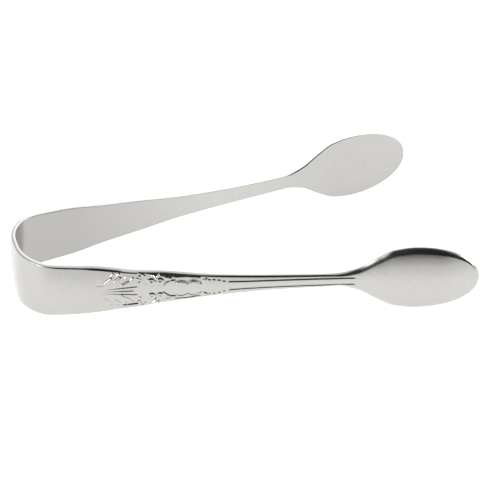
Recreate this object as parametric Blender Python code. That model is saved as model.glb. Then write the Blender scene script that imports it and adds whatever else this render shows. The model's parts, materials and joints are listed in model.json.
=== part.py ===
"""Ice tongs: a bow-shaped spring strip whose two arms end in spoon bowls.

The strip is one stamped and bent blank.  It is modelled in the zones where it
bends and where its section changes: the crown of the bow, a shoulder on each
side, a handle and a bowl.  The crown stays still, each shoulder turns on the
crown, and each handle with its bowl turns on its shoulder.

The strip frame has its origin at the middle of the crown, +X towards the tips,
+Z across the strip's width, the front arm at -Y and the rear arm at +Y.  An
empty then sets the whole strip down on Z = 0, as it lies on a table.
"""

import math

import bmesh
import bpy
import numpy as np
from mathutils import Vector

MM = 0.001

# Distance along the strip from the middle of the crown, in millimetres.
CROWN_END = 6.0
SHOULDER_END = 18.0
NECK = 91.0
WIDEST = 110.5
TIP = 127.0
JOINT_GAP = 0.3

# Heading of the strip in plan, in degrees from +X: (distance, heading).
HEADING = [(0.0, 90.0), (9.0, 62.0), (13.0, 46.0), (17.0, 18.0), (22.0, 12.0), (60.0, 9.5),
           (90.0, 12.0), (TIP, 13.0)]

# Half of the strip's width, in millimetres: (distance, half width).
CROWN_HALF_WIDTH = 7.5
SHOULDER_HALF_WIDTH = 7.0
HANDLE_HALF_WIDTH = 4.5
NECK_HALF_WIDTH = 1.9
BOWL_HALF_WIDTH = 9.0
HALF_WIDTH = [(0.0, CROWN_HALF_WIDTH), (7.0, CROWN_HALF_WIDTH), (26.0, SHOULDER_HALF_WIDTH),
              (36.0, 5.7), (47.0, HANDLE_HALF_WIDTH), (60.0, 3.0), (75.0, 2.2),
              (90.0, NECK_HALF_WIDTH), (95.0, 3.0), (101.0, 6.4), (105.0, 8.3),
              (WIDEST, BOWL_HALF_WIDTH)]
TIP_ROUNDNESS = 2.1

# Thickness at the strip's edges, and how far the outer face swells at mid-width.
THICKNESS = [(0.0, 1.0), (18.0, 1.35), (32.0, 1.5), (60.0, 1.3), (90.0, 1.2), (TIP, 1.2)]
FACE_SWELL = [(0.0, 0.45), (30.0, 0.4), (60.0, 0.35), (90.0, 0.3), (100.0, 0.0), (TIP, 0.0)]

# Depth of the spoon bowls at mid-width: (distance, depth).
BOWL_DEPTH = [(90.0, 0.0), (96.0, 0.3), (103.0, 0.95), (110.0, 1.3), (116.0, 1.2),
              (122.0, 0.7), (TIP, 0.0)]
DISH_POWER = 2.2

COLUMNS = 7
STEEL_COLOUR = (0.62, 0.61, 0.60, 1.0)
STEEL_ROUGHNESS = 0.3

PLAN_STEP = 0.1


def follow(stations, distance):
    """Monotone cubic curve through (distance, value) stations."""
    xs = np.array([station[0] for station in stations])
    ys = np.array([station[1] for station in stations])
    distance = min(max(distance, xs[0]), xs[-1])
    steps = np.diff(xs)
    rises = np.diff(ys) / steps
    slopes = np.zeros(len(xs))
    for i in range(1, len(xs) - 1):
        if rises[i - 1] * rises[i] > 0:
            before = 2 * steps[i] + steps[i - 1]
            after = steps[i] + 2 * steps[i - 1]
            slopes[i] = (before + after) / (before / rises[i - 1] + after / rises[i])
    i = min(int(np.searchsorted(xs, distance, side="right")) - 1, len(steps) - 1)
    t = (distance - xs[i]) / steps[i]
    value = (1 + 2 * t) * (1 - t) ** 2 * ys[i] + t * t * (3 - 2 * t) * ys[i + 1]
    value += t * (1 - t) ** 2 * steps[i] * slopes[i]
    value += t * t * (t - 1) * steps[i] * slopes[i + 1]
    return float(value)


def plan_curve():
    """Points of the strip's middle line in plan, for the rear (+Y) side."""
    distances = np.arange(0.0, TIP + PLAN_STEP, PLAN_STEP)
    angles = np.radians([follow(HEADING, d) for d in distances])
    middle = (angles[1:] + angles[:-1]) / 2
    x = np.concatenate([[0.0], np.cumsum(np.cos(middle) * PLAN_STEP)])
    y = np.concatenate([[0.0], np.cumsum(np.sin(middle) * PLAN_STEP)])
    return distances, x, y


PLAN = plan_curve()


def place(distance, side):
    """Point on the middle line and the outward normal; side is -1 front, +1 rear."""
    if distance < 0:
        distance, side = -distance, -side
    x = float(np.interp(distance, PLAN[0], PLAN[1]))
    y = float(np.interp(distance, PLAN[0], PLAN[2]))
    heading = math.radians(follow(HEADING, distance))
    point = Vector((x, side * y, 0.0))
    normal = Vector((-math.sin(heading), side * math.cos(heading), 0.0))
    return point, normal


def half_width(distance):
    """Half of the strip's width, with a rounded end past the widest place."""
    if distance <= WIDEST:
        return follow(HALF_WIDTH, distance)
    reach = (distance - WIDEST) / (TIP - WIDEST)
    left = max(1.0 - reach ** TIP_ROUNDNESS, 0.0)
    return BOWL_HALF_WIDTH * left ** (1.0 / TIP_ROUNDNESS)


def ring(distance, side):
    """Outline of the strip's section: the outer face, then the inner face back."""
    point, normal = place(distance, side)
    along = abs(distance)
    width = half_width(along)
    half_thick = follow(THICKNESS, along) / 2
    swell = follow(FACE_SWELL, along)
    depth = follow(BOWL_DEPTH, along)
    outer, inner = [], []
    for column in range(COLUMNS):
        across = math.sin(math.pi / 2 * (2 * column / (COLUMNS - 1) - 1))
        dish = depth * (1 - abs(across) ** DISH_POWER)
        up = Vector((0.0, 0.0, width * across))
        outer.append(point + up + normal * (half_thick + dish + swell * (1 - across ** 2)))
        inner.append(point + up + normal * (dish - half_thick))
    return [corner * MM for corner in outer + inner[::-1]]


def strip_solid(name, start, end, side, step, pivot, crowd_tip=False):
    """One zone of the strip as a closed solid with its origin at pivot."""
    count = max(2, round((end - start) / step))
    distances = [start + (end - start) * i / count for i in range(count + 1)]
    if crowd_tip:
        turns = [math.pi / 2 * i / count for i in range(count + 1)]
        distances = [start + (end - start) * math.sin(turn) for turn in turns]
        distances[-1] = end - 0.02
    mesh = bpy.data.meshes.new(name)
    bm = bmesh.new()
    rings = []
    for distance in distances:
        rings.append([bm.verts.new(corner - pivot) for corner in ring(distance, side)])
    size = len(rings[0])
    for before, after in zip(rings, rings[1:]):
        for i in range(size):
            j = (i + 1) % size
            bm.faces.new((before[i], before[j], after[j], after[i]))
    bm.faces.new(rings[0])
    bm.faces.new(rings[-1][::-1])
    bmesh.ops.recalc_face_normals(bm, faces=bm.faces)
    bm.to_mesh(mesh)
    bm.free()
    mesh.shade_smooth()
    mesh.set_sharp_from_angle(angle=math.radians(30))
    piece = bpy.data.objects.new(name, mesh)
    bpy.context.scene.collection.objects.link(piece)
    piece.data.materials.append(steel(name))
    return piece


def steel(name):
    """Stainless steel with a soft polish."""
    material = bpy.data.materials.new(name + "_steel")
    material.use_nodes = True
    shader = material.node_tree.nodes["Principled BSDF"]
    shader.inputs["Base Color"].default_value = STEEL_COLOUR
    shader.inputs["Metallic"].default_value = 1.0
    shader.inputs["Roughness"].default_value = STEEL_ROUGHNESS
    return material


def hold(child, parent, pivot, parent_pivot):
    """Parent a piece to the one it turns on, with its origin at its own pivot."""
    child.parent = parent
    child.location = pivot - parent_pivot


def make_arm(word, side, crown):
    """Shoulder, handle and bowl of one side, each hung on the piece before it."""
    half_gap = JOINT_GAP / 2
    crown_pivot = Vector((0.0, 0.0, 0.0))
    shoulder_pivot = place(CROWN_END, side)[0] * MM
    arm_pivot = place(SHOULDER_END, side)[0] * MM
    shoulder = strip_solid(word + "_shoulder", CROWN_END + half_gap, SHOULDER_END - half_gap,
                           side, 1.0, shoulder_pivot)
    hold(shoulder, crown, shoulder_pivot, crown_pivot)
    handle = strip_solid(word + "_handle", SHOULDER_END + half_gap, NECK - half_gap,
                         side, 2.4, arm_pivot)
    hold(handle, shoulder, arm_pivot, shoulder_pivot)
    bowl = strip_solid(word + "_bowl", NECK + half_gap, TIP, side, 1.2, arm_pivot,
                       crowd_tip=True)
    hold(bowl, handle, arm_pivot, arm_pivot)
    return [shoulder, handle, bowl]


def set_down(crown, pieces):
    """Tilt the strip onto its lower edges, centre it and rest it on Z = 0."""
    base = bpy.data.objects.new("rest_frame", None)
    bpy.context.scene.collection.objects.link(base)
    crown.parent = base
    crown_reach = place(0.0, 1)[0].x
    bowl_reach = place(WIDEST, 1)[0].x
    tilt = math.atan((BOWL_HALF_WIDTH - CROWN_HALF_WIDTH) / (bowl_reach - crown_reach))
    base.rotation_euler = (0.0, -tilt, 0.0)
    bpy.context.view_layer.update()
    corners = [piece.matrix_world @ vertex.co for piece in pieces for vertex in piece.data.vertices]
    low = [min(corner[axis] for corner in corners) for axis in range(3)]
    high = [max(corner[axis] for corner in corners) for axis in range(3)]
    base.location = (-(low[0] + high[0]) / 2, -(low[1] + high[1]) / 2, -low[2])
    bpy.context.view_layer.update()


def clear_scene():
    for old in list(bpy.data.objects):
        bpy.data.objects.remove(old, do_unlink=True)


def main():
    clear_scene()
    crown = strip_solid("bow_crown", -CROWN_END + JOINT_GAP / 2, CROWN_END - JOINT_GAP / 2,
                        1, 1.0, Vector((0.0, 0.0, 0.0)))
    pieces = [crown]
    for word, side in (("front", -1), ("rear", 1)):
        pieces += make_arm(word, side, crown)
    set_down(crown, pieces)


main()
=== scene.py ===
"""Looks of the ice tongs: polished strip with stamped ornament, satin steel and studio light.

Lengths along and across the strip are in millimetres, as in the part's own source, and every
piece is put in the row frame, in metres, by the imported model's joints.
"""

import json
import math

import bmesh
import bpy
import numpy as np
from mathutils import Matrix, Vector


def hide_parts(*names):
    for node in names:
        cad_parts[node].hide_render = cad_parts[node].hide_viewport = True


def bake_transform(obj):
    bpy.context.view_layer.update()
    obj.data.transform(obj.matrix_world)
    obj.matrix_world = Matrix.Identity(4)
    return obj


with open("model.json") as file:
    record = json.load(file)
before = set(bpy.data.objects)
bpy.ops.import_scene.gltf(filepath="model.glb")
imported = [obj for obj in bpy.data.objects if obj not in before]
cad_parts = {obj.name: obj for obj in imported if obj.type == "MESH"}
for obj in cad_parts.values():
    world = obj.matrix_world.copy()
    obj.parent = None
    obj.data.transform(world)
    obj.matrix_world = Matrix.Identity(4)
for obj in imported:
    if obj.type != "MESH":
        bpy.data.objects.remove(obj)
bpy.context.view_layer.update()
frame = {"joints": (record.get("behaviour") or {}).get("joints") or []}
JOINTS = {joint["name"]: joint for joint in frame["joints"]}

MM = 0.001

# ---------------------------------------------------------------- the strip
# Distances along the strip from the middle of the crown.
CROWN_END = 6.0
SHOULDER_MIDDLE = 12.0
WIDEST = 110.5
TIP = 127.0

HEADING = [(0.0, 90.0), (9.0, 62.0), (13.0, 46.0), (17.0, 18.0), (22.0, 12.0), (60.0, 9.5),
           (90.0, 12.0), (TIP, 13.0)]
CROWN_HALF_WIDTH = 7.5
SHOULDER_HALF_WIDTH = 7.0
HANDLE_HALF_WIDTH = 4.5
NECK_HALF_WIDTH = 1.9
BOWL_HALF_WIDTH = 9.0
HALF_WIDTH = [(0.0, CROWN_HALF_WIDTH), (7.0, CROWN_HALF_WIDTH), (26.0, SHOULDER_HALF_WIDTH),
              (36.0, 5.7), (47.0, HANDLE_HALF_WIDTH), (60.0, 3.0), (75.0, 2.2),
              (90.0, NECK_HALF_WIDTH), (95.0, 3.0), (101.0, 6.4), (105.0, 8.3),
              (WIDEST, BOWL_HALF_WIDTH)]
TIP_ROUNDNESS = 2.1
THICKNESS = [(0.0, 1.0), (18.0, 1.35), (32.0, 1.5), (60.0, 1.3), (90.0, 1.2), (98.0, 0.9),
             (TIP, 0.9)]
FACE_SWELL = [(0.0, 0.45), (15.0, 0.45), (24.0, 0.62), (34.0, 0.5), (60.0, 0.35), (90.0, 0.3),
              (100.0, 0.0), (TIP, 0.0)]
BOWL_DEPTH = [(90.0, 0.0), (96.0, 0.3), (103.0, 0.95), (110.0, 1.3), (116.0, 1.2),
              (122.0, 0.7), (TIP, 0.0)]
DISH_POWER = 2.2

# Rounding of the strip's edges on each face: how far in from the edge it starts, the share
# of the edge's thickness that it takes up, and how far the outer one turns, in degrees.
OUTER_REACH = [(0.0, 0.2), (12.0, 0.2), (18.0, 0.55), (24.0, 0.6), (27.0, 0.85), (32.0, 0.9),
               (35.0, 0.65), (39.5, 0.5), (42.0, 0.85), (45.0, 1.35), (48.0, 1.05), (51.0, 0.8),
               (55.0, 0.6), (86.0, 0.6), (92.0, 1.0), (98.0, 1.5), (112.0, 1.5), (122.0, 1.1),
               (TIP, 0.8)]
OUTER_SHARE = [(0.0, 0.8), (12.0, 0.8), (18.0, 0.85), (24.0, 0.9), (52.0, 0.85), (62.0, 0.45),
               (86.0, 0.45), (91.0, 0.6), (96.0, 0.55), (101.0, 0.58), (114.0, 0.82), (TIP, 0.82)]
OUTER_TURN = [(0.0, 90.0), (86.0, 90.0), (92.0, 35.0), (TIP, 35.0)]
INNER_REACH = [(0.0, 0.1), (89.0, 0.07), (93.0, 0.35), (99.0, 0.6), (102.0, 0.55),
               (115.0, 0.1), (TIP, 0.08)]
INNER_SHARE = [(0.0, 0.1), (89.0, 0.1), (93.0, 0.36), (97.0, 0.4), (102.0, 0.36),
               (115.0, 0.14), (TIP, 0.12)]

# The bowls are a little more domed outside than they are hollow inside.
BOWL_SWELL = [(92.0, 0.0), (104.0, 0.55), (116.0, 0.55), (TIP, 0.0)]
HOLLOW_SHARE = 0.65

PLAN_STEP = 0.05


def follow(stations, distance):
    """Monotone cubic curve through (distance, value) stations, at an array of distances."""
    xs = np.array([station[0] for station in stations])
    ys = np.array([station[1] for station in stations])
    distance = np.clip(np.asarray(distance, float), xs[0], xs[-1])
    steps = np.diff(xs)
    rises = np.diff(ys) / steps
    slopes = np.zeros(len(xs))
    for i in range(1, len(xs) - 1):
        if rises[i - 1] * rises[i] > 0:
            before = 2 * steps[i] + steps[i - 1]
            after = steps[i] + 2 * steps[i - 1]
            slopes[i] = (before + after) / (before / rises[i - 1] + after / rises[i])
    i = np.clip(np.searchsorted(xs, distance, side="right") - 1, 0, len(steps) - 1)
    t = (distance - xs[i]) / steps[i]
    value = (1 + 2 * t) * (1 - t) ** 2 * ys[i] + t * t * (3 - 2 * t) * ys[i + 1]
    value += t * (1 - t) ** 2 * steps[i] * slopes[i]
    value += t * t * (t - 1) * steps[i] * slopes[i + 1]
    return value


def plan_curve():
    """The strip's middle line in plan: distances, and x and y on the rear side."""
    distances = np.arange(0.0, TIP + PLAN_STEP, PLAN_STEP)
    angles = np.radians(follow(HEADING, distances))
    middle = (angles[1:] + angles[:-1]) / 2
    steps = np.diff(distances)
    x = np.concatenate([[0.0], np.cumsum(np.cos(middle) * steps)])
    y = np.concatenate([[0.0], np.cumsum(np.sin(middle) * steps)])
    return distances, x, y


PLAN = plan_curve()


def half_width(distance):
    """Half of the strip's width, with a rounded end past the widest place."""
    distance = np.asarray(distance, float)
    reach = np.clip((distance - WIDEST) / (TIP - WIDEST), 0, 1)
    left = (1 - reach ** TIP_ROUNDNESS) ** (1 / TIP_ROUNDNESS)
    return np.where(distance <= WIDEST, follow(HALF_WIDTH, distance), BOWL_HALF_WIDTH * left)


def strip_point(distance, across, outward, side):
    """Points of the strip frame, in millimetres; side is -1 for front and +1 for rear."""
    x = np.interp(distance, PLAN[0], PLAN[1])
    y = np.interp(distance, PLAN[0], PLAN[2])
    heading = np.radians(follow(HEADING, distance))
    x = x - np.sin(heading) * outward
    y = y + np.cos(heading) * outward
    return np.stack([x, side * y, across + 0 * x], axis=-1)


def strip_frame():
    """Matrix from the strip frame to the row frame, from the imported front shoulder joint."""
    up = Vector(JOINTS["front_shoulder_flex"]["axis"]).normalized()
    ahead = Vector((up.z, 0.0, -up.x))
    turn = Matrix((ahead, Vector((0.0, 1.0, 0.0)), up)).transposed()
    pivot = Vector(strip_point(CROWN_END, 0.0, 0.0, -1)) * MM
    shift = Vector(JOINTS["front_shoulder_flex"]["pos_m"]) - turn @ pivot
    return Matrix.Translation(shift) @ turn.to_4x4()


STRIP_FRAME = strip_frame()


def to_row(points):
    """Strip frame points in millimetres, in the row frame in metres."""
    turn = np.array(STRIP_FRAME.to_3x3())
    return np.asarray(points) * MM @ turn.T + np.array(STRIP_FRAME.translation)


# ------------------------------------------------------------- the ornament

def bump(distance, width):
    """Smooth hill of height 1 whose flanks reach out to about width."""
    return np.exp(-(distance / width) ** 2)


def step_up(value, width):
    """Smooth step from 0 to 1, centred on value 0."""
    rise = np.clip(value / width + 0.5, 0, 1)
    return rise * rise * (3 - 2 * rise)


def between(value, low, high, width):
    """1 from low to high, with a smooth step at each end."""
    return step_up(value - low, width) * step_up(high - value, width)


def line(s, up, points, width, height):
    """Ridge along the straight lines through points, or a groove where height is negative."""
    away = np.full_like(s, TIP)
    for (from_s, from_up), (to_s, to_up) in zip(points, points[1:]):
        ds, du = to_s - from_s, to_up - from_up
        along = ((s - from_s) * ds + (up - from_up) * du) / (ds * ds + du * du)
        along = np.clip(along, 0, 1)
        away = np.minimum(away, np.hypot(s - from_s - along * ds, up - from_up - along * du))
    return height * bump(away, width)


def petal(s, up, root, angle, length, width, height):
    """Domed leaflet from root, pointing at angle, in degrees from +s towards the edge."""
    c, d = math.cos(math.radians(angle)), math.sin(math.radians(angle))
    along = (s - root[0]) * c + (up - root[1]) * d
    across = -(s - root[0]) * d + (up - root[1]) * c
    share = np.clip(along / length, 0, 1)
    swell = width * np.sqrt(share * (1.15 - share)) * 1.6
    dome = np.clip(1 - (across / np.maximum(swell, 0.02)) ** 2, 0, 1)
    return height * np.sqrt(dome) * between(along, 0.0, length, 0.3)


def knob(s, up, centre, radius, height):
    """Round boss with a small bead on it."""
    away = np.hypot(s - centre[0], up - centre[1])
    return height * (step_up(radius - away, 0.45) + 0.7 * bump(away, 0.3 * radius))


def palmette(s, up):
    """Leafy fan that opens towards the tips, with three grooves down its spine."""
    height = np.zeros_like(s)
    for root, tip in (((30.0, 2.35), (31.6, 3.6)), ((32.5, 2.75), (34.0, 3.75)),
                      ((34.3, 1.6), (36.6, 2.8))):
        height += line(s, up, (root, tip), 0.23, 0.36)
    for root, lift, angle, length in ((31.4, 4.1, 50, 1.3), (33.0, 4.2, 44, 1.2),
                                      (35.0, 3.4, 40, 1.2), (36.6, 3.0, 36, 1.1)):
        height += petal(s, up, (root, lift), angle, length, 0.3, 0.3)
    fade = np.clip((s - 25.0) / 10.0, 0, 1) * step_up(s - 28.2, 1.0)
    for lean, stop in ((0.0, 37.4), (1.0, 38.3)):
        middle = lean * (0.42 + 0.075 * (s - 28.0))
        height -= 0.15 * fade * bump(up - middle, 0.22) * step_up(stop - s, 0.6)
    height += line(s, up, ((27.8, 1.85), (29.6, 1.85)), 0.2, -0.07)
    return height


def border_bars(s, up):
    """Raised border along each edge beside the fan that ends in a bead and two curls."""
    inner_edge = 4.35 - 0.08 * (s - 33.6)
    span = step_up(s - 34.4, 2.0) * step_up(38.5 - s, 0.4)
    height = 0.3 * span * step_up(up - inner_edge, 0.4)
    height += line(s, up, ((39.05, 3.9), (39.15, 3.9)), 0.36, 0.26)
    height += line(s, up, ((38.3, 3.4), (39.3, 3.1), (39.4, 2.5), (38.8, 2.1)), 0.22, 0.16)
    height += line(s, up, ((39.3, 4.6), (39.9, 4.4), (40.3, 3.9)), 0.22, 0.24)
    height += line(s, up, ((40.4, 2.7), (40.6, 1.9)), 0.2, -0.1)
    return height


def scrolls(s, up):
    """On each half: two knobs with a crossing beside them, two small knobs, a stem and ticks."""
    height = knob(s, up, (42.0, 2.1), 1.05, 0.28) + knob(s, up, (44.2, 2.1), 1.05, 0.28)
    height += knob(s, up, (45.9, 3.2), 0.4, 0.18) + knob(s, up, (46.8, 3.0), 0.4, 0.18)
    height += line(s, up, ((42.3, 4.0), (43.4, 3.0)), 0.2, 0.42)
    height += line(s, up, ((43.9, 4.0), (42.9, 3.1)), 0.2, 0.42)
    height += line(s, up, ((45.1, 1.1), (46.0, 1.8), (46.9, 2.3), (48.0, 2.3)), 0.22, 0.26)
    for start in (46.1, 46.8, 47.5):
        height += line(s, up, ((start, 2.6), (start + 0.5, 3.2)), 0.16, 0.1)
    return height


def cartouche(s, up):
    """Long leaf with a scalloped edge between two border lines, with ticks and an end stroke."""
    edge = 1.35 + 0.6 * np.abs(np.sin(math.pi * (s - 47.9) / 3.4))
    edge = edge * np.clip(1.0 - 0.055 * (s - 52.2), 0, 1.0)
    span = between(s, 48.3, 55.4, 0.7)
    height = 0.28 * span * step_up(edge - up, 0.34)
    height -= 0.14 * span * bump(up - edge - 0.28, 0.2)
    height += line(s, up, ((48.2, 3.15), (51.2, 3.12), (54.5, 2.65)), 0.22, 0.18)
    for tick in (52.7, 53.3, 53.9):
        height += line(s, up, ((tick, 2.3), (tick + 0.1, 2.75)), 0.16, -0.12)
    height += line(s, up, ((55.3, 1.6), (56.3, 2.2)), 0.22, 0.32)
    return height


def dashes(s, up):
    """Four short grooves on each half that lead into the thread."""
    height = np.zeros_like(s)
    for middle, lift in ((56.9, 2.12), (58.2, 2.06), (59.5, 1.86), (60.8, 1.5)):
        ends = ((middle - 0.22, lift + 0.04), (middle + 0.22, lift - 0.04))
        height += line(s, up, ends, 0.2, -0.17)
    return height


def threads(s, up):
    """Two grooves, one on each half, that run down the handle to the neck."""
    track = follow([(61.5, 1.24), (66.0, 1.1), (80.0, 0.98), (96.0, 0.94)], s)
    return -0.19 * between(s, 61.9, 94.8, 0.8) * bump(up - track, 0.2)


# Below the lower edge of its spine, the fan is pressed to this share of its depth.
LOWER_FAN = 0.4
SPINE_EDGE = -1.4


def relief(s, z):
    """Height of the stamped ornament on the outer face."""
    up = np.abs(z)
    fan = palmette(s, up) * np.where(z < SPINE_EDGE, LOWER_FAN, 1.0)
    height = fan + border_bars(s, up) + scrolls(s, up)
    return height + cartouche(s, up) + dashes(s, up) + threads(s, up)


# ---------------------------------------------------------- the strip's mesh

# Painted shade on the inner face: darker in the bow, where the arms face each other, and fading out
# along the handle.
PAINTED_SHADE_START = 30.0
PAINTED_SHADE_END = 70.0

FACE_COLUMNS = 60
ROUND_STEPS = 10
BACK_COLUMNS = 16
BACK_ROUND_STEPS = 4
TIP_SPOKES = 119

# The relief fades out over this distance from the rim.
RELIEF_FADE = 0.6

# An inset is measured square to the rim.  Where a half-section meets the rim aslant, the
# sine of the angle between them counts as at least this.
LEAST_SQUARE = 0.3

# Points of the mesh that are closer than this, in metres, are one point.
MERGE_DISTANCE = 2e-7
SHARP_ANGLE = math.radians(60.0)


def spokes(end, rows):
    """Centre and rim of each half-section, from the lower edge round the end to the upper edge.

    Past the widest place the half-sections fan out round one centre, so that they cross the
    rim all the way round the tip.
    """
    centre = [(s, 0.0) for s in rows]
    rim = [(s, -float(half_width(s))) for s in rows]
    if end >= TIP:
        power = 2 / TIP_ROUNDNESS
        turns = np.linspace(-90.0, 90.0, TIP_SPOKES + 2)[1:-1]
        for turn in np.radians(turns):
            c, d = abs(math.cos(turn)), abs(math.sin(turn))
            centre.append((WIDEST, 0.0))
            rim.append((WIDEST + (TIP - WIDEST) * c ** power,
                        math.copysign(BOWL_HALF_WIDTH * d ** power, turn)))
    centre += [(s, 0.0) for s in rows[::-1]]
    rim += [(s, float(half_width(s))) for s in rows[::-1]]
    return np.array(centre), np.array(rim)


def face_height(s, z):
    """Dish of the bowl and swell of the outer face at points of the strip."""
    share = np.clip(np.abs(z) / np.maximum(half_width(s), 1e-3), 0, 1)
    dish = follow(BOWL_DEPTH, s) * (1 - share ** DISH_POWER)
    return dish, (follow(FACE_SWELL, s) + follow(BOWL_SWELL, s)) * (1 - share ** 2)


def section_points(centre, rim):
    """Distance, height across and outward offset of every point of every half-section."""
    ray = rim - centre
    length = np.hypot(ray[:, 0], ray[:, 1])
    tangent = np.gradient(rim, axis=0)
    tangent /= np.maximum(np.hypot(tangent[:, 0], tangent[:, 1]), 1e-9)[:, None]
    square = np.abs(ray[:, 0] * tangent[:, 1] - ray[:, 1] * tangent[:, 0]) / length
    square = np.maximum(square, LEAST_SQUARE)
    thick = follow(THICKNESS, rim[:, 0])
    half_thick = thick / 2
    outer_reach = follow(OUTER_REACH, rim[:, 0])
    outer_depth = follow(OUTER_SHARE, rim[:, 0]) * thick
    outer_turn = np.radians(follow(OUTER_TURN, rim[:, 0]))
    inner_reach = follow(INNER_REACH, rim[:, 0])
    inner_depth = follow(INNER_SHARE, rim[:, 0]) * thick
    columns = []

    def add(inset, share, drop, outer):
        """One ring of points: inset from the rim, or a share of the way to the rounding."""
        full = 1 - inset / (square * length)
        at = centre + ray * (full * share)[:, None]
        dish, swell = face_height(at[:, 0], at[:, 1])
        if outer:
            fade = np.clip((1 - full * share) * length / RELIEF_FADE, 0, 1)
            out = half_thick + dish + swell - drop + relief(at[:, 0], at[:, 1]) * fade
        else:
            out = HOLLOW_SHARE * dish - half_thick + drop
        columns.append(np.stack([at[:, 0], at[:, 1], out], axis=-1))

    for share in np.linspace(0.0, 1.0, FACE_COLUMNS):
        add(outer_reach, share, 0.0, True)
    for step in range(1, ROUND_STEPS + 1):
        turn = outer_turn * step / ROUND_STEPS
        in_from_edge = 1 - np.sin(turn) / np.sin(outer_turn)
        drop = (1 - np.cos(turn)) / (1 - np.cos(outer_turn))
        add(outer_reach * in_from_edge, 1.0, outer_depth * drop, True)
    for step in range(BACK_ROUND_STEPS + 1):
        turn = math.pi / 2 * step / BACK_ROUND_STEPS
        add(inner_reach * (1 - math.cos(turn)), 1.0, inner_depth * (1 - math.sin(turn)), False)
    for share in np.linspace(1.0, 0.0, BACK_COLUMNS)[1:]:
        add(inner_reach, share, 0.0, False)
    return np.stack(columns, axis=1)


def strip_mesh(name, side, rows):
    """Closed mesh of the strip over rows, with the ornament on its outer face."""
    end = TIP if rows[-1] == WIDEST else rows[-1]
    centre, rim = spokes(end, rows)
    grid = section_points(centre, rim)
    count, depth = grid.shape[:2]
    points = strip_point(grid[..., 0], grid[..., 1], grid[..., 2], side)
    verts = to_row(points.reshape(-1, 3))
    mesh = bpy.data.meshes.new(name)
    index = np.arange(count * depth).reshape(count, depth)
    quads = np.stack([index[:-1, :-1], index[:-1, 1:], index[1:, 1:], index[1:, :-1]], axis=-1)
    closings = [(index[0], index[-1])]
    if end < TIP:
        half = count // 2
        quads = quads[np.arange(count - 1) != half - 1]
        closings.append((index[half - 1], index[half]))
    quads = quads.reshape(-1, 4)
    if side > 0:
        quads = quads[:, ::-1]
    faces = quads.tolist()
    for lower, upper in closings:
        faces.append(lower.tolist() + upper[::-1].tolist())
    mesh.from_pydata(verts.tolist(), [], faces)
    layer = mesh.uv_layers.new(name="strip")
    loops = np.zeros(len(mesh.loops), np.int32)
    mesh.loops.foreach_get("vertex_index", loops)
    flat = grid.reshape(-1, 3)
    layer.data.foreach_set("uv", (flat[loops][:, :2] / TIP).astype(np.float32).ravel())
    # Painted shade: a mask that darkens the inner face in the bow and fades to nothing along the
    # handle; the outer face and its rounding get none.
    painted_shade = np.clip((PAINTED_SHADE_END - flat[:, 0]) / (PAINTED_SHADE_END - PAINTED_SHADE_START), 0, 1)
    painted_shade[(np.arange(len(flat)) % depth) < FACE_COLUMNS + ROUND_STEPS] = 0.0
    inside = mesh.attributes.new("bow_painted_shade", "FLOAT", "POINT")
    inside.data.foreach_set("value", painted_shade.astype(np.float32))
    bm = bmesh.new()
    bm.from_mesh(mesh)
    bmesh.ops.remove_doubles(bm, verts=bm.verts, dist=MERGE_DISTANCE)
    bmesh.ops.recalc_face_normals(bm, faces=bm.faces)
    bm.to_mesh(mesh)
    bm.free()
    mesh.shade_smooth()
    mesh.set_sharp_from_angle(angle=SHARP_ANGLE)
    piece = bpy.data.objects.new(name, mesh)
    bpy.context.scene.collection.objects.link(piece)
    return piece


def stations(*spans):
    """Distances of the half-sections, from (start, end, step) spans."""
    found = []
    for start, end, step in spans:
        count = max(1, round((end - start) / step))
        found += [start + (end - start) * i / count for i in range(count)]
    return found + [spans[-1][1]]


# ------------------------------------------------------------ the material

def dot_with(tree, vector, direction):
    """Node output: cosine of the angle to a fixed direction."""
    node = tree.nodes.new("ShaderNodeVectorMath")
    node.operation = "DOT_PRODUCT"
    tree.links.new(vector, node.inputs[0])
    node.inputs[1].default_value = direction
    return node.outputs["Value"]


def ramp(tree, value, start, end, low=0.0, high=1.0):
    """Node output: smooth step from low at start to high at end."""
    node = tree.nodes.new("ShaderNodeMapRange")
    node.interpolation_type = "SMOOTHSTEP"
    node.inputs["From Min"].default_value = start
    node.inputs["From Max"].default_value = end
    node.inputs["To Min"].default_value = low
    node.inputs["To Max"].default_value = high
    tree.links.new(value, node.inputs["Value"])
    return node.outputs["Result"]


def math_node(tree, operation, first, second=None):
    """Node output of one arithmetic step."""
    node = tree.nodes.new("ShaderNodeMath")
    node.operation = operation
    for socket, value in zip(node.inputs, (first, second)):
        if isinstance(value, (int, float)):
            socket.default_value = value
        elif value is not None:
            tree.links.new(value, socket)
    return node.outputs[0]


# The steel's darker and lighter tint, and the painted shade inside the bow.
TINT_DARK = (0.515, 0.507, 0.487, 1.0)
TINT_LIGHT = (0.535, 0.527, 0.506, 1.0)
TINT_PAINTED_SHADE = (0.42, 0.414, 0.401, 1.0)
ROUGHNESS = (0.2, 0.25)

# Noise scales: the brushing's along and across the strip, for one strip's length, and the
# others for one metre.
BRUSHING_SCALE = (30.0, 900.0, 1.0)
GRAIN_SCALE = 2600.0
MOTTLE_SCALE = 1100.0
CLOUD_SCALE = 70.0

# The noise levels between which the roughness and the tint change.
ROUGHNESS_SPAN = (0.3, 0.7)
TINT_SPAN = (0.75, 1.25)

BRUSHING_BUMP = 0.04
GRAIN_BUMP = 0.06
BUMP_DISTANCE = 0.00002


def noise(tree, vector, scale, detail):
    """Node output: noise of the given scale and detail."""
    node = tree.nodes.new("ShaderNodeTexNoise")
    node.inputs["Scale"].default_value = scale
    node.inputs["Detail"].default_value = detail
    tree.links.new(vector, node.inputs["Vector"])
    return node.outputs["Fac"]


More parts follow.
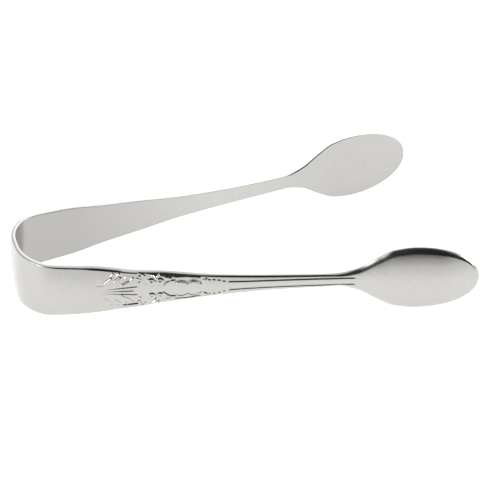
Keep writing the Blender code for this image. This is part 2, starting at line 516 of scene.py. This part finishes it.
def mix(tree, factor, first, second):
    """Node output: blend of two colours; the first may be a node output."""
    node = tree.nodes.new("ShaderNodeMix")
    node.data_type = "RGBA"
    if isinstance(first, tuple):
        node.inputs["A"].default_value = first
    else:
        tree.links.new(first, node.inputs["A"])
    node.inputs["B"].default_value = second
    tree.links.new(factor, node.inputs["Factor"])
    return node.outputs["Result"]


def bumped(tree, height, strength, normal=None):
    """Node output: normal with a fine bump on it."""
    node = tree.nodes.new("ShaderNodeBump")
    node.inputs["Strength"].default_value = strength
    node.inputs["Distance"].default_value = BUMP_DISTANCE
    tree.links.new(height, node.inputs["Height"])
    if normal is not None:
        tree.links.new(normal, node.inputs["Normal"])
    return node.outputs["Normal"]


def satin_steel():
    """Stainless steel with a soft polish: faint brushing, fine grain, light mottling and painted
    shade on the inner face in the bow.
    """
    material = bpy.data.materials.new("satin_steel")
    material.use_nodes = True
    tree = material.node_tree
    shader = tree.nodes["Principled BSDF"]
    shader.inputs["Metallic"].default_value = 1.0
    uv = tree.nodes.new("ShaderNodeUVMap")
    uv.uv_map = "strip"
    stretch = tree.nodes.new("ShaderNodeMapping")
    stretch.inputs["Scale"].default_value = BRUSHING_SCALE
    tree.links.new(uv.outputs["UV"], stretch.inputs["Vector"])
    place = tree.nodes.new("ShaderNodeTexCoord").outputs["Object"]
    brushing = noise(tree, stretch.outputs["Vector"], 1.0, 3.0)
    grain = noise(tree, place, GRAIN_SCALE, 2.0)
    mottle = noise(tree, place, MOTTLE_SCALE, 2.0)
    cloud = noise(tree, place, CLOUD_SCALE, 2.0)
    rough = tree.nodes.new("ShaderNodeMapRange")
    rough.inputs["From Min"].default_value = ROUGHNESS_SPAN[0]
    rough.inputs["From Max"].default_value = ROUGHNESS_SPAN[1]
    rough.inputs["To Min"].default_value = ROUGHNESS[0]
    rough.inputs["To Max"].default_value = ROUGHNESS[1]
    tree.links.new(cloud, rough.inputs["Value"])
    tree.links.new(rough.outputs["Result"], shader.inputs["Roughness"])
    mottling = ramp(tree, math_node(tree, "ADD", cloud, mottle), *TINT_SPAN)
    tint = mix(tree, mottling, TINT_DARK, TINT_LIGHT)
    # Painted shade: the inner face is mixed towards a darker tint in the bow.
    inside = tree.nodes.new("ShaderNodeAttribute")
    inside.attribute_name = "bow_painted_shade"
    colour = mix(tree, inside.outputs["Fac"], tint, TINT_PAINTED_SHADE)
    tree.links.new(colour, shader.inputs["Base Color"])
    normal = bumped(tree, grain, GRAIN_BUMP, bumped(tree, brushing, BRUSHING_BUMP))
    tree.links.new(normal, shader.inputs["Normal"])
    return material


# -------------------------------------------------------------- the pieces

# Spans of the half-sections: from, to and step.  They are closest where the ornament is.
BOW_SPANS = [(0.0, SHOULDER_MIDDLE, 0.2)]
ARM_SPANS = [(SHOULDER_MIDDLE, 24.0, 0.25), (24.0, 27.0, 0.3), (27.0, 62.5, 0.13),
             (62.5, 94.0, 0.35), (94.0, WIDEST, 0.3)]


def line_point(distance, side):
    """Point of the strip's middle line in the row frame."""
    return Vector(to_row(strip_point(np.array([distance]), 0.0, 0.0, side))[0])


def make_half(word, side, steel):
    """The bow's half and the arm of one side, in two pieces that meet at the middle of the shoulder.
    """
    bow = strip_mesh("bow_" + word, side, stations(*BOW_SPANS))
    arm = strip_mesh(word + "_arm", side, stations(*ARM_SPANS))
    for piece in (bow, arm):
        piece.data.materials.append(steel)
    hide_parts("bow_crown", word + "_shoulder")
    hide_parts(word + "_handle", word + "_bowl")
    line_point(1.0, side)
    line_point(SHOULDER_MIDDLE - 0.8, side)
    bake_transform(bow)
    line_point(SHOULDER_MIDDLE + 0.8, side)
    line_point(25.0, side)
    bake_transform(arm)


steel = satin_steel()
make_half("front", -1, steel)
make_half("rear", 1, steel)


# ------------------------------------------------- floor, light and camera

# The camera in the strip frame: its turn about the upright, how far it looks down and its
# roll, then its distance, its lens and the offset of its axis, in millimetres.
VIEW_TURN = math.radians(13.2)
VIEW_DROP = math.radians(29.5)
VIEW_ROLL = math.radians(0.9)
VIEW_DISTANCE = 865.0
VIEW_LENS = 248.0
AIM_RIGHT = 58.4
AIM_UP = 7.3

# The dark half of the room, from this far left of the camera round to the right, with its
# top, and the levels of the dark, of the white room, of its patches and of the softboxes.
DARK_LEFT = math.radians(50.0)
DARK_TOP = math.radians(88.0)
DARK_LEVEL = 0.02
SKY_LEVEL = 1.1
BACK_LEVEL = 2.2
SIDE_SHADE = 0.55
BOX_LEVEL = 6.0

# Azimuth and elevation in degrees, and the cosines at the edge and at the core: the two
# softboxes, the bright patch behind the tongs and the shade on the left.
SOFTBOXES = [(-70.0, 20.0, 0.92, 0.98), (88.0, 28.0, 0.94, 0.98)]
BACK_PATCH = (180.0, 30.0, 0.92, 0.97)
SIDE_PATCH = (-125.0, 25.0, 0.65, 0.85)

# The floor's glow: from and to, in metres from the middle of the tongs towards the camera,
# and the level at each.  The last two are shares of the first.
FLOOR_NEAR = (0.03, 0.075, 1.13, 0.84)
FLOOR_BEHIND = (-0.05, 0.0, 0.86, 1.0)
FLOOR_FAR = (0.13, 0.24, 1.0, 0.5)
FLOOR_GREY = (0.2, 0.2, 0.2, 1.0)
FLOOR_SIZE = 4.0


def studio_world():
    """White room, brighter behind the tongs, shaded on the left and dark round the camera.

    Two softboxes light it, and the camera itself sees no part of it darker than white.
    """
    world = bpy.data.worlds.new("studio")
    bpy.context.scene.world = world
    world.use_nodes = True
    tree = world.node_tree
    background = tree.nodes["Background"]
    background.inputs["Color"].default_value = (1.0, 1.0, 1.0, 1.0)
    ray = tree.nodes.new("ShaderNodeTexCoord").outputs["Generated"]

    def towards(azimuth, elevation=0.0):
        """Cosine to a direction: azimuth to the right of the camera, elevation above the floor."""
        turn = VIEW_TURN - azimuth
        flat = math.cos(elevation)
        return dot_with(tree, ray, (-math.sin(turn) * flat, -math.cos(turn) * flat,
                                    math.sin(elevation)))

    def patch(place, outside, inside):
        """Node output: level of the room, changing from outside to inside a round patch."""
        azimuth, elevation, edge, core = place
        toward = towards(math.radians(azimuth), math.radians(elevation))
        return ramp(tree, toward, edge, core, outside, inside)

    upwards = towards(0.0, math.pi / 2)
    dark = ramp(tree, towards(math.pi / 2 - DARK_LEFT), -0.08, 0.08)
    dark = math_node(tree, "MULTIPLY", dark, ramp(tree, upwards, -0.08, 0.2))
    below_top = towards(0.0, DARK_TOP - math.pi / 2)
    dark = math_node(tree, "MULTIPLY", dark, ramp(tree, below_top, -0.05, 0.15))
    level = patch(BACK_PATCH, SKY_LEVEL, BACK_LEVEL)
    level = math_node(tree, "MULTIPLY", level, patch(SIDE_PATCH, 1.0, SIDE_SHADE))
    for softbox in SOFTBOXES:
        level = math_node(tree, "ADD", level, patch(softbox, 0.0, BOX_LEVEL))
    lit = math_node(tree, "MULTIPLY", level, math_node(tree, "SUBTRACT", 1.0, dark))
    lit = math_node(tree, "ADD", lit, math_node(tree, "MULTIPLY", dark, DARK_LEVEL))
    seen = tree.nodes.new("ShaderNodeLightPath").outputs["Is Camera Ray"]
    strength = math_node(tree, "MAXIMUM", lit, seen)
    tree.links.new(strength, background.inputs["Strength"])


def floor():
    """Pale light table that glows most round the front arm, so hardly a shadow shows."""
    mesh = bpy.data.meshes.new("floor")
    corners = [(x * FLOOR_SIZE, y * FLOOR_SIZE, 0.0) for x, y in ((-1, -1), (1, -1), (1, 1), (-1, 1))]
    mesh.from_pydata(corners, [], [(0, 1, 2, 3)])
    piece = bpy.data.objects.new("floor", mesh)
    bpy.context.scene.collection.objects.link(piece)
    material = bpy.data.materials.new("light_table")
    material.use_nodes = True
    tree = material.node_tree
    shader = tree.nodes["Principled BSDF"]
    shader.inputs["Base Color"].default_value = FLOOR_GREY
    shader.inputs["Roughness"].default_value = 0.9
    shader.inputs["Specular IOR Level"].default_value = 0.0
    shader.inputs["Emission Color"].default_value = (1.0, 1.0, 1.0, 1.0)
    place = tree.nodes.new("ShaderNodeTexCoord").outputs["Object"]
    in_front = dot_with(tree, place, (-math.sin(VIEW_TURN), -math.cos(VIEW_TURN), 0.0))
    glow = ramp(tree, in_front, *FLOOR_NEAR)
    for band in (FLOOR_BEHIND, FLOOR_FAR):
        glow = math_node(tree, "MULTIPLY", glow, ramp(tree, in_front, *band))
    tree.links.new(glow, shader.inputs["Emission Strength"])
    mesh.materials.append(material)


def camera():
    """Long-lens camera, placed in the strip frame: it looks down on the front arm's outer face."""
    turn, drop, roll = VIEW_TURN, VIEW_DROP, VIEW_ROLL
    flat_right = Vector((math.cos(turn), -math.sin(turn), 0.0))
    ahead = Vector((math.sin(turn), math.cos(turn), 0.0))
    above = Vector((0.0, 0.0, 1.0))
    flat_up = ahead * math.sin(drop) + above * math.cos(drop)
    forward = ahead * math.cos(drop) - above * math.sin(drop)
    right = flat_right * math.cos(roll) - flat_up * math.sin(roll)
    up = flat_up * math.cos(roll) + flat_right * math.sin(roll)
    spot = right * AIM_RIGHT + up * AIM_UP - forward * VIEW_DISTANCE
    data = bpy.data.cameras.new("camera")
    data.lens = VIEW_LENS
    data.sensor_width = 36.0
    data.clip_start = 0.05
    data.clip_end = 20.0
    eye = bpy.data.objects.new("camera", data)
    bpy.context.scene.collection.objects.link(eye)
    place = Matrix((right, up, -forward)).transposed().to_4x4()
    place.translation = spot * MM
    eye.matrix_world = STRIP_FRAME @ place
    bpy.context.scene.camera = eye


studio_world()
floor()
camera()
bpy.context.scene.view_settings.view_transform = "Standard"
